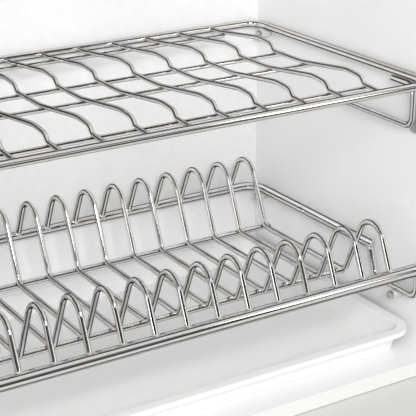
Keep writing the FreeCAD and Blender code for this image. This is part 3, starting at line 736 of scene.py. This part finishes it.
def pan_screw(head_place, sign):
    """Return one pan head screw along X with a cross recess and a rising thread.

    The head is a dome, z = H (1 - (r / R)^2.6), less a recess where a point is within half a slot's width of
    either arm. The thread's radius is core + h times a triangle wave of (x / pitch - f / 2 pi).
    """
    sizes = settings().fittings
    sides = 48
    turn = 2 * math.pi * np.arange(sides) / sides
    head_radius, height = sizes.screw_head / 2, sizes.screw_head_height
    head_rings = np.linspace(0.04, 1.0, 16)
    dome = height * (1 - head_rings ** 2.6 * 0.75)
    across = head_rings[:, None] * head_radius * np.cos(turn)
    up = head_rings[:, None] * head_radius * np.sin(turn)
    arm, slot = 0.48 * head_radius, 0.5 * MM
    in_slot = np.maximum((np.abs(across) < slot) & (np.abs(up) < arm), (np.abs(up) < slot) & (np.abs(across) < arm))
    recess = 1.1 * MM * in_slot * (1 - head_rings[:, None] * 0.9)
    head_rise = dome[:, None] - recess
    shank_rings = np.linspace(0, 1, 60)
    reach = sizes.screw_length * shank_rings[:, None]
    phase = (reach / sizes.thread_pitch - turn[None] / (2 * math.pi)) % 1.0
    crest = np.clip(1 - np.abs(phase - 0.5) * 4, 0, 1)
    core = 0.68 * sizes.screw_diameter / 2
    point = np.clip((1 - shank_rings[:, None]) * 5, 0.05, 1)
    shank = (core + (sizes.screw_diameter / 2 - core) * crest) * point
    radii = np.vstack([np.tile(head_rings[:, None] * head_radius, (1, sides)),
                       np.full((1, sides), head_radius), np.full((1, sides), core), shank])
    lift = np.vstack([head_rise, np.zeros((2, sides)), -np.tile(reach, (1, sides))])
    rings = len(radii)
    direction = np.array([-float(sign), 0.0, 0.0])
    route = (np.tile(np.array(head_place, float), (rings, 1)), np.tile(-direction, (rings, 1)),
             np.tile([0.0, 1.0, 0.0], (rings, 1)))
    return swept(route, radii, sides, lift=-lift)


class CABINET_OT_screws(bpy.types.Operator):
    """Turn the pan head screws of the support plates"""

    bl_idname = "dish_cabinet.screws"
    bl_label = "Screws"

    def execute(self, context):
        sizes = settings().fittings
        plate_middle = centre_of("support_plate_right")
        seat = corner_high("support_screws")[0] - sizes.screw_length
        places = [(seat, plate_middle[1], plate_middle[2] + side * sizes.support_screw_span / 2)
                  for side in (-1, 1)]
        shapes = [pan_screw((sign * x, y, z), sign) for x, y, z in places for sign in (1, -1)]
        put_piece("support_screws_threaded", joined(shapes), "cabinet", ["support_screws"],
                  finish("zinc"))
        return {"FINISHED"}


def add_node(tree, kind, settings_of=None, links=None):
    """Add one shader node, give its sockets or options their settings and link what feeds it."""
    node = tree.nodes.new(kind)
    for key, value in (settings_of or {}).items():
        if isinstance(key, str) and hasattr(node, key):
            setattr(node, key, value)
        else:
            node.inputs[key].default_value = value
    for key, source in (links or {}).items():
        tree.links.new(source, node.inputs[key])
    return node


def rgba(value):
    """Return a linear colour with full alpha."""
    return (value[0], value[1], value[2], 1.0)


def begin_finish(title):
    """Start a material with one shader and return the material, its nodes and the shader."""
    material = bpy.data.materials.new(title)
    material.use_nodes = True
    tree = material.node_tree
    tree.nodes.clear()
    shader = tree.nodes.new("ShaderNodeBsdfPrincipled")
    add_node(tree, "ShaderNodeOutputMaterial", links={"Surface": shader.outputs["BSDF"]})
    return material, tree, shader


def object_place(tree, scale=(1.0, 1.0, 1.0)):
    """Return the object's own coordinates in metres, stretched by a scale."""
    place = add_node(tree, "ShaderNodeTexCoord").outputs["Object"]
    return add_node(tree, "ShaderNodeMapping", {"Scale": scale}, {"Vector": place}).outputs["Vector"]


def rod_place(tree, scale):
    """Return the place along and round a rod in metres, stretched by a scale."""
    place = add_node(tree, "ShaderNodeUVMap", {"uv_map": "UVMap"}).outputs["UV"]
    return add_node(tree, "ShaderNodeMapping", {"Scale": scale}, {"Vector": place}).outputs["Vector"]


def blend_colours(tree, factor, first, second):
    """Return a mix of two colours, each a colour or a socket, by a factor socket."""
    node = add_node(tree, "ShaderNodeMix", {"data_type": "RGBA"}, {0: factor})
    for index, value in ((6, first), (7, second)):
        if isinstance(value, bpy.types.NodeSocket):
            tree.links.new(value, node.inputs[index])
        else:
            node.inputs[index].default_value = rgba(value)
    return node.outputs[2]


def spread_to(tree, value, low, high, to_low, to_high):
    """Return a value moved from one range to another."""
    return add_node(tree, "ShaderNodeMapRange", {1: low, 2: high, 3: to_low, 4: to_high},
                    {0: value}).outputs[0]


def noise(tree, place, scale, detail=2.0):
    """Return the factor of a noise whose features are about one over the scale across."""
    return add_node(tree, "ShaderNodeTexNoise", {"Scale": scale, "Detail": detail}, {"Vector": place}).outputs[0]


def bumped(tree, shader, height, depth, strength):
    """Give the shader a bump of this depth in metres."""
    bump = add_node(tree, "ShaderNodeBump", {"Distance": depth, "Strength": strength}, {"Height": height})
    tree.links.new(bump.outputs[0], shader.inputs["Normal"])


def polished_stainless():
    """Stainless steel wire and tube, drawn and then electropolished.

    Polishing leaves a bright mirror with faint lengthwise draw lines in its roughness, a slightly wavy skin, patches
    that are a little cooler or warmer, and a trace of straw colour where a weld has warmed it. Dark stripes round
    the wire are painted reflection: they stand in for a dark room mirrored in the steel.
    """
    colours = settings().finishes
    material, tree, shader = begin_finish("stainless steel, drawn and electropolished")
    shader.inputs["Metallic"].default_value = 1.0
    shader.inputs["Specular Tint"].default_value = rgba(linear("#282828"))
    patches = noise(tree, object_place(tree), 22.0)
    tone = blend_colours(tree, spread_to(tree, patches, 0.35, 0.65, 0, 1), colours.steel_cool, colours.steel_warm)
    # Painted reflection: near-black stripes about 5 mm apart round the wire stand in for a dark room mirrored in the
    # steel
    painted_reflection_stripes = add_node(tree, "ShaderNodeTexWave", {"Scale": 62.0, "Distortion": 1.6, "Detail Scale": 0.5,
                                                "bands_direction": "Y"},
                    {"Vector": rod_place(tree, (0.1, 1.0, 1.0))}).outputs["Fac"]
    tone = blend_colours(tree, spread_to(tree, painted_reflection_stripes, 0.74, 0.90, 0.0, 0.93), tone, colours.steel_painted_reflection)
    warmth = add_node(tree, "ShaderNodeAttribute", {"attribute_name": "weld_warmth"}).outputs["Fac"]
    warm = spread_to(tree, warmth, 0.2, 1.0, 0.0, 0.3)
    tree.links.new(blend_colours(tree, warm, tone, colours.weld_straw), shader.inputs["Base Color"])
    # Draw lines are some hundredths of a millimetre apart, and are drawn 0.8 mm apart so that they show
    lines = noise(tree, rod_place(tree, (25.0, 1250.0, 1.0)), 1.0, 3.0)
    rough = spread_to(tree, lines, 0.3, 0.7, 0.05, 0.12)
    heat_rough = spread_to(tree, warmth, 0.0, 1.0, 0.0, 0.10)
    total = add_node(tree, "ShaderNodeMath", {"operation": "ADD"}, {0: rough, 1: heat_rough}).outputs[0]
    tree.links.new(total, shader.inputs["Roughness"])
    # The skin's waviness from drawing is about 6 mm long
    waviness = noise(tree, object_place(tree), 160.0, 1.0)
    height = add_node(tree, "ShaderNodeMath", {"operation": "MULTIPLY_ADD", 1: 0.15}, {0: lines, 2: waviness}).outputs[0]
    bumped(tree, shader, height, 0.03 * MM, 0.2)
    return material


def weld_metal():
    """Weld beads in stainless steel: rippled and a little duller than the wire round them."""
    colours = settings().finishes
    material, tree, shader = begin_finish("stainless steel, weld bead")
    shader.inputs["Metallic"].default_value = 1.0
    ripple = noise(tree, object_place(tree), 1400.0, 3.0)
    tone = blend_colours(tree, spread_to(tree, ripple, 0.3, 0.7, 0, 0.5), colours.steel_cool, colours.weld_straw)
    tree.links.new(tone, shader.inputs["Base Color"])
    tree.links.new(spread_to(tree, ripple, 0.3, 0.7, 0.2, 0.34), shader.inputs["Roughness"])
    bumped(tree, shader, ripple, 0.12 * MM, 0.8)
    return material


def plug_metal():
    """Domed plugs of pressed stainless steel, with fine turning rings round their middle."""
    colours = settings().finishes
    material, tree, shader = begin_finish("stainless steel, pressed and buffed")
    shader.inputs["Metallic"].default_value = 1.0
    rings = noise(tree, rod_place(tree, (2200.0, 40.0, 1.0)), 1.0)
    tone = blend_colours(tree, spread_to(tree, rings, 0.3, 0.7, 0, 1), colours.steel_cool, colours.steel_warm)
    tree.links.new(tone, shader.inputs["Base Color"])
    tree.links.new(spread_to(tree, rings, 0.3, 0.7, 0.14, 0.24), shader.inputs["Roughness"])
    bumped(tree, shader, rings, 0.03 * MM, 0.4)
    return material


def plated_zinc():
    """Zinc plated steel screws and satin sheet steel share a soft grey shine with a cloudy skin."""
    colours = settings().finishes
    material, tree, shader = begin_finish("steel, zinc plated")
    shader.inputs["Metallic"].default_value = 1.0
    cloud = noise(tree, object_place(tree), 600.0)
    tone = blend_colours(tree, spread_to(tree, cloud, 0.3, 0.7, 0, 0.6), colours.zinc, colours.satin_steel)
    tree.links.new(tone, shader.inputs["Base Color"])
    tree.links.new(spread_to(tree, cloud, 0.3, 0.7, 0.22, 0.36), shader.inputs["Roughness"])
    bumped(tree, shader, cloud, 0.03 * MM, 0.5)
    return material


def satin_sheet():
    """Satin stainless sheet: short grinding lines along the cabinet's depth blur its reflections."""
    colours = settings().finishes
    material, tree, shader = begin_finish("stainless sheet, satin ground")
    shader.inputs["Metallic"].default_value = 1.0
    # Grinding lines are drawn 0.5 mm apart so that they show
    lines = noise(tree, object_place(tree, (2000.0, 60.0, 2000.0)), 1.0, 3.0)
    tone = blend_colours(tree, spread_to(tree, lines, 0.3, 0.7, 0, 0.5), colours.satin_steel, colours.zinc)
    tree.links.new(tone, shader.inputs["Base Color"])
    tree.links.new(spread_to(tree, lines, 0.3, 0.7, 0.26, 0.40), shader.inputs["Roughness"])
    bumped(tree, shader, lines, 0.03 * MM, 0.6)
    return material


def bare_edge_mask(tree, axis, level, sign):
    """Return 1 past a level along one axis of the object, and 0 before it."""
    place = add_node(tree, "ShaderNodeTexCoord").outputs["Object"]
    parts = add_node(tree, "ShaderNodeSeparateXYZ", links={0: place})
    return add_node(tree, "ShaderNodeMath", {"operation": "GREATER_THAN" if sign > 0 else "LESS_THAN", 1: level},
                    {0: parts.outputs[axis]}).outputs[0]


def melamine_board(title, axis, level, sign):
    """White melamine faced chipboard, with a fine pearl grain pressed into the face.

    The grain breaks the gloss into a soft sheen. Past the given level the edge is bare chipboard, with
    pale and dark chips that lie along the board.
    """
    colours = settings().finishes
    material, tree, shader = begin_finish(title)
    # The pearl grain is about 0.6 mm across, drawn at 1.1 mm
    pearl = noise(tree, object_place(tree), 900.0)
    shade = noise(tree, object_place(tree), 7.0)
    face = blend_colours(tree, spread_to(tree, shade, 0.3, 0.7, 0, 1), colours.melamine, linear("#f3f3f3"))
    chips = add_node(tree, "ShaderNodeTexVoronoi", {"Scale": 1.0},
                     {"Vector": object_place(tree, (330.0, 330.0, 330.0))}).outputs["Color"]
    chip_tone = add_node(tree, "ShaderNodeSeparateColor", links={0: chips}).outputs[0]
    core = blend_colours(tree, chip_tone, linear("#8d6c47"), colours.chipboard)
    mask = bare_edge_mask(tree, axis, level, sign)
    tree.links.new(blend_colours(tree, mask, face, core), shader.inputs["Base Color"])
    gloss = spread_to(tree, pearl, 0.3, 0.7, 0.36, 0.50)
    rough = add_node(tree, "ShaderNodeMath", {"operation": "MULTIPLY_ADD", 1: 0.4}, {0: mask, 2: gloss}).outputs[0]
    tree.links.new(rough, shader.inputs["Roughness"])
    height = add_node(tree, "ShaderNodeMath", {"operation": "MULTIPLY_ADD"}, {0: mask, 1: chip_tone, 2: pearl}).outputs[0]
    bumped(tree, shader, height, 0.05 * MM, 0.5)
    return material


def lacquered_hardboard(level):
    """Thin hardboard, white lacquered in front, and bare brown behind with the print of the press's mesh."""
    colours = settings().finishes
    material, tree, shader = begin_finish("hardboard, white lacquered on one face")
    smooth = noise(tree, object_place(tree), 120.0)
    front = blend_colours(tree, spread_to(tree, smooth, 0.3, 0.7, 0, 1), linear("#f7f7f7"), linear("#f4f4f4"))
    fibres = noise(tree, object_place(tree, (900.0, 900.0, 260.0)), 1.0, 4.0)
    rear = blend_colours(tree, spread_to(tree, fibres, 0.3, 0.7, 0, 1), colours.hardboard, linear("#5f432b"))
    mask = bare_edge_mask(tree, 1, level, 1)
    tree.links.new(blend_colours(tree, mask, front, rear), shader.inputs["Base Color"])
    tree.links.new(spread_to(tree, mask, 0, 1, 0.34, 0.8), shader.inputs["Roughness"])
    # The press's wire mesh has about 1.5 mm pitch
    place = object_place(tree)
    across = add_node(tree, "ShaderNodeTexWave", {"Scale": 105.0, "bands_direction": "X"}, {"Vector": place}).outputs[1]
    upward = add_node(tree, "ShaderNodeTexWave", {"Scale": 105.0, "bands_direction": "Z"}, {"Vector": place}).outputs[1]
    mesh = add_node(tree, "ShaderNodeMath", {"operation": "MULTIPLY"}, {0: across, 1: upward}).outputs[0]
    height = add_node(tree, "ShaderNodeMath", {"operation": "MULTIPLY_ADD"}, {0: mesh, 1: mask, 2: smooth}).outputs[0]
    bumped(tree, shader, height, 0.1 * MM, 0.4)
    return material


def edging_strip():
    """White ABS edging, extruded and scraped flush, with faint scrape lines along it."""
    colours = settings().finishes
    material, tree, shader = begin_finish("ABS edging, extruded and scraped")
    lines = noise(tree, object_place(tree, (1400.0, 1400.0, 40.0)), 1.0)
    tone = blend_colours(tree, spread_to(tree, lines, 0.3, 0.7, 0, 1), colours.edge_band, linear("#eaeae9"))
    tree.links.new(tone, shader.inputs["Base Color"])
    tree.links.new(spread_to(tree, lines, 0.3, 0.7, 0.28, 0.38), shader.inputs["Roughness"])
    bumped(tree, shader, lines, 0.03 * MM, 0.4)
    return material


def moulded_tray():
    """Injection moulded white polypropylene: a fine spark eroded skin, waxy and slightly uneven."""
    colours = settings().finishes
    material, tree, shader = begin_finish("polypropylene, injection moulded")
    skin = noise(tree, object_place(tree), 1100.0)
    flow = noise(tree, object_place(tree, (6.0, 14.0, 14.0)), 1.0)
    tone = blend_colours(tree, spread_to(tree, flow, 0.3, 0.7, 0, 1), colours.tray, linear("#f2f2f2"))
    tree.links.new(tone, shader.inputs["Base Color"])
    tree.links.new(spread_to(tree, skin, 0.3, 0.7, 0.30, 0.42), shader.inputs["Roughness"])
    bumped(tree, shader, skin, 0.04 * MM, 0.4)
    return material


def moulded_cap():
    """Small white polyethylene caps and bushes, satin from the mould."""
    colours = settings().finishes
    material, tree, shader = begin_finish("polyethylene, injection moulded")
    skin = noise(tree, object_place(tree), 1500.0)
    tone = blend_colours(tree, spread_to(tree, skin, 0.3, 0.7, 0, 1), colours.caps, linear("#e8e8e5"))
    tree.links.new(tone, shader.inputs["Base Color"])
    tree.links.new(spread_to(tree, skin, 0.3, 0.7, 0.38, 0.5), shader.inputs["Roughness"])
    bumped(tree, shader, skin, 0.04 * MM, 0.4)
    return material


def soft_sleeve():
    """Pale silicone sleeves, matt, with the faint rings of extrusion."""
    colours = settings().finishes
    material, tree, shader = begin_finish("silicone, extruded")
    rings = noise(tree, object_place(tree, (1600.0, 200.0, 200.0)), 1.0)
    tone = blend_colours(tree, spread_to(tree, rings, 0.3, 0.7, 0, 1), colours.sleeve, linear("#cfcfcc"))
    tree.links.new(tone, shader.inputs["Base Color"])
    tree.links.new(spread_to(tree, rings, 0.3, 0.7, 0.5, 0.66), shader.inputs["Roughness"])
    bumped(tree, shader, rings, 0.05 * MM, 0.5)
    return material


FINISHES = {
    "stainless": polished_stainless,
    "weld": weld_metal,
    "plug": plug_metal,
    "zinc": plated_zinc,
    "satin": satin_sheet,
    "edging": edging_strip,
    "tray": moulded_tray,
    "cap": moulded_cap,
    "sleeve": soft_sleeve,
}
made_finishes = {}


def finish(name):
    """Return a finish, made the first time it is asked for."""
    if name not in made_finishes:
        made_finishes[name] = FINISHES[name]()
    return made_finishes[name]


def dress(node, material):
    """Give a CAD node its finish."""
    mesh = frame["nodes"][node].data
    mesh.materials.clear()
    mesh.materials.append(material)


class CABINET_OT_boards(bpy.types.Operator):
    """Give the boards, back panel, edging and small fittings their finishes"""

    bl_idname = "dish_cabinet.boards"
    bl_label = "Boards and Fittings"

    def execute(self, context):
        rear = cad_bounds[1][1]
        panel = melamine_board("chipboard, white melamine faced", 1, rear - 0.05 * MM, 1)
        for node in ("right_side_panel", "left_side_panel", "bottom_panel", "top_panel"):
            dress(node, panel)
        under = corner_low("upper_hanging_rail")[2]
        dress("upper_hanging_rail", melamine_board("chipboard rail, white melamine faced", 2, under + 0.05 * MM, -1))
        over = corner_high("lower_hanging_rail")[2]
        dress("lower_hanging_rail", melamine_board("chipboard low rail, white melamine faced", 2, over - 0.05 * MM, 1))
        dress("back_panel", lacquered_hardboard(corner_high("back_panel")[1] - 0.1 * MM))
        dress("front_edge_bands", finish("edging"))
        dress("drip_tray", finish("tray"))
        for node in ("screw_caps", "support_bushes"):
            dress(node, finish("cap"))
        dress("peg_sleeves", finish("sleeve"))
        dress("carcass_screws", finish("zinc"))
        dress("support_pegs", finish("zinc"))
        for node in ("support_plate_right", "support_plate_left"):
            dress(node, finish("satin"))
        return {"FINISHED"}


class CABINET_OT_stage(bpy.types.Operator):
    """Lay the pale floor, hang the soft lamps and set the camera"""

    bl_idname = "dish_cabinet.stage"
    bl_label = "Studio"

    def execute(self, context):
        self.lay_floor()
        self.light_world()
        self.hang_lamps()
        self.set_camera()
        return {"FINISHED"}

    def lay_floor(self):
        """Lay a large plain floor just under the cabinet."""
        mesh = bpy.data.meshes.new("floor")
        half, level = 6.0, float(cad_bounds[0][2]) - 1 * MM
        mesh.from_pydata([(-half, -half, level), (half, -half, level), (half, half, level), (-half, half, level)],
                         [], [(0, 1, 2, 3)])
        material, tree, shader = begin_finish("painted studio floor")
        mottle = noise(tree, object_place(tree), 3.0)
        tone = blend_colours(tree, mottle, settings().finishes.floor, linear("#dadad8"))
        tree.links.new(tone, shader.inputs["Base Color"])
        shader.inputs["Roughness"].default_value = 0.7
        mesh.materials.append(material)
        floor = bpy.data.objects.new("floor", mesh)
        bpy.context.scene.collection.objects.link(floor)

    def light_world(self):
        """Give the room a soft white light, with a greyer band above the horizon for the steel to show."""
        world = bpy.data.worlds.new("studio")
        bpy.context.scene.world = world
        world.use_nodes = True
        tree = world.node_tree
        tree.nodes.clear()
        direction = add_node(tree, "ShaderNodeTexCoord").outputs["Generated"]
        upward = add_node(tree, "ShaderNodeSeparateXYZ", links={0: direction}).outputs[2]
        above = add_node(tree, "ShaderNodeMath", {"operation": "SUBTRACT", 1: 0.34}, {0: upward}).outputs[0]
        away = add_node(tree, "ShaderNodeMath", {"operation": "ABSOLUTE"}, {0: above}).outputs[0]
        pale = blend_colours(tree, spread_to(tree, upward, 0.34, 0.6, 0.0, 1.0), linear("#ececec"), linear("#dcdcdc"))
        room = blend_colours(tree, spread_to(tree, away, 0.12, 0.24, 0.0, 1.0), linear("#5a5b5c"), pale)
        light = add_node(tree, "ShaderNodeBackground", {"Strength": 1.0}, {"Color": room})
        add_node(tree, "ShaderNodeOutputWorld", links={"Surface": light.outputs[0]})

    def hang_lamps(self):
        """Hang a large soft lamp high in front, a tall one on the left and a narrow one on the right."""
        for name, place, aim, size, power in (
                ("main lamp", (-0.8, -2.2, 1.5), (0.0, 0.0, 0.2), (0.8, 0.8), 44.0),
                ("left lamp", (-2.0, -1.2, 0.7), (0.0, 0.0, 0.3), (0.3, 1.6), 8.0),
                ("right lamp", (1.6, -2.0, 0.8), (0.0, 0.0, 0.3), (0.3, 1.6), 5.0)):
            data = bpy.data.lights.new(name, "AREA")
            data.shape = "RECTANGLE"
            data.size, data.size_y = size
            data.energy = power
            lamp = bpy.data.objects.new(name, data)
            lamp.location = place
            lamp.rotation_euler = (Vector(aim) - Vector(place)).to_track_quat("-Z", "Y").to_euler()
            bpy.context.scene.collection.objects.link(lamp)

    def set_camera(self):
        """Stand the camera where the photograph was taken from, in front and to the left of the opening."""
        data = bpy.data.cameras.new("camera")
        data.sensor_width = 36.0
        data.lens = 117.88
        data.clip_start = 0.05
        camera = bpy.data.objects.new("camera", data)
        camera.location = (-0.4851, -1.1172, 0.6623)
        camera.rotation_euler = (math.radians(90 - 20.92), 0.0, math.radians(-32.22))
        bpy.context.scene.collection.objects.link(camera)
        bpy.context.scene.camera = camera
        bpy.context.scene.view_settings.view_transform = "Standard"


PIECES = (CABINET_OT_boards, CABINET_OT_plate_frame, CABINET_OT_plate_wires, CABINET_OT_cup_rack,
          CABINET_OT_supports, CABINET_OT_screws, CABINET_OT_stage)


class VIEW3D_PT_dish_cabinet(bpy.types.Panel):
    """Sidebar panel with one button for each piece"""

    bl_idname = "VIEW3D_PT_dish_cabinet"
    bl_label = "Dish Cabinet"
    bl_space_type = "VIEW_3D"
    bl_region_type = "UI"
    bl_category = "Dish Cabinet"

    def draw(self, context):
        for piece in PIECES:
            self.layout.operator(piece.bl_idname)


CLASSES = (PlateRackSizes, CupRackSizes, FittingSizes, MeshSteps, Finishes, DishCabinet) + PIECES + (
    VIEW3D_PT_dish_cabinet,)


def register():
    for cls in CLASSES:
        bpy.utils.register_class(cls)
    bpy.types.Scene.dish_cabinet = PointerProperty(type=DishCabinet)


def unregister():
    del bpy.types.Scene.dish_cabinet
    for cls in reversed(CLASSES):
        bpy.utils.unregister_class(cls)


def main():
    """Make every piece."""
    register()
    for piece in PIECES:
        group_name, name = piece.bl_idname.split(".")
        getattr(getattr(bpy.ops, group_name), name)()


if __name__ == "__main__":
    main()
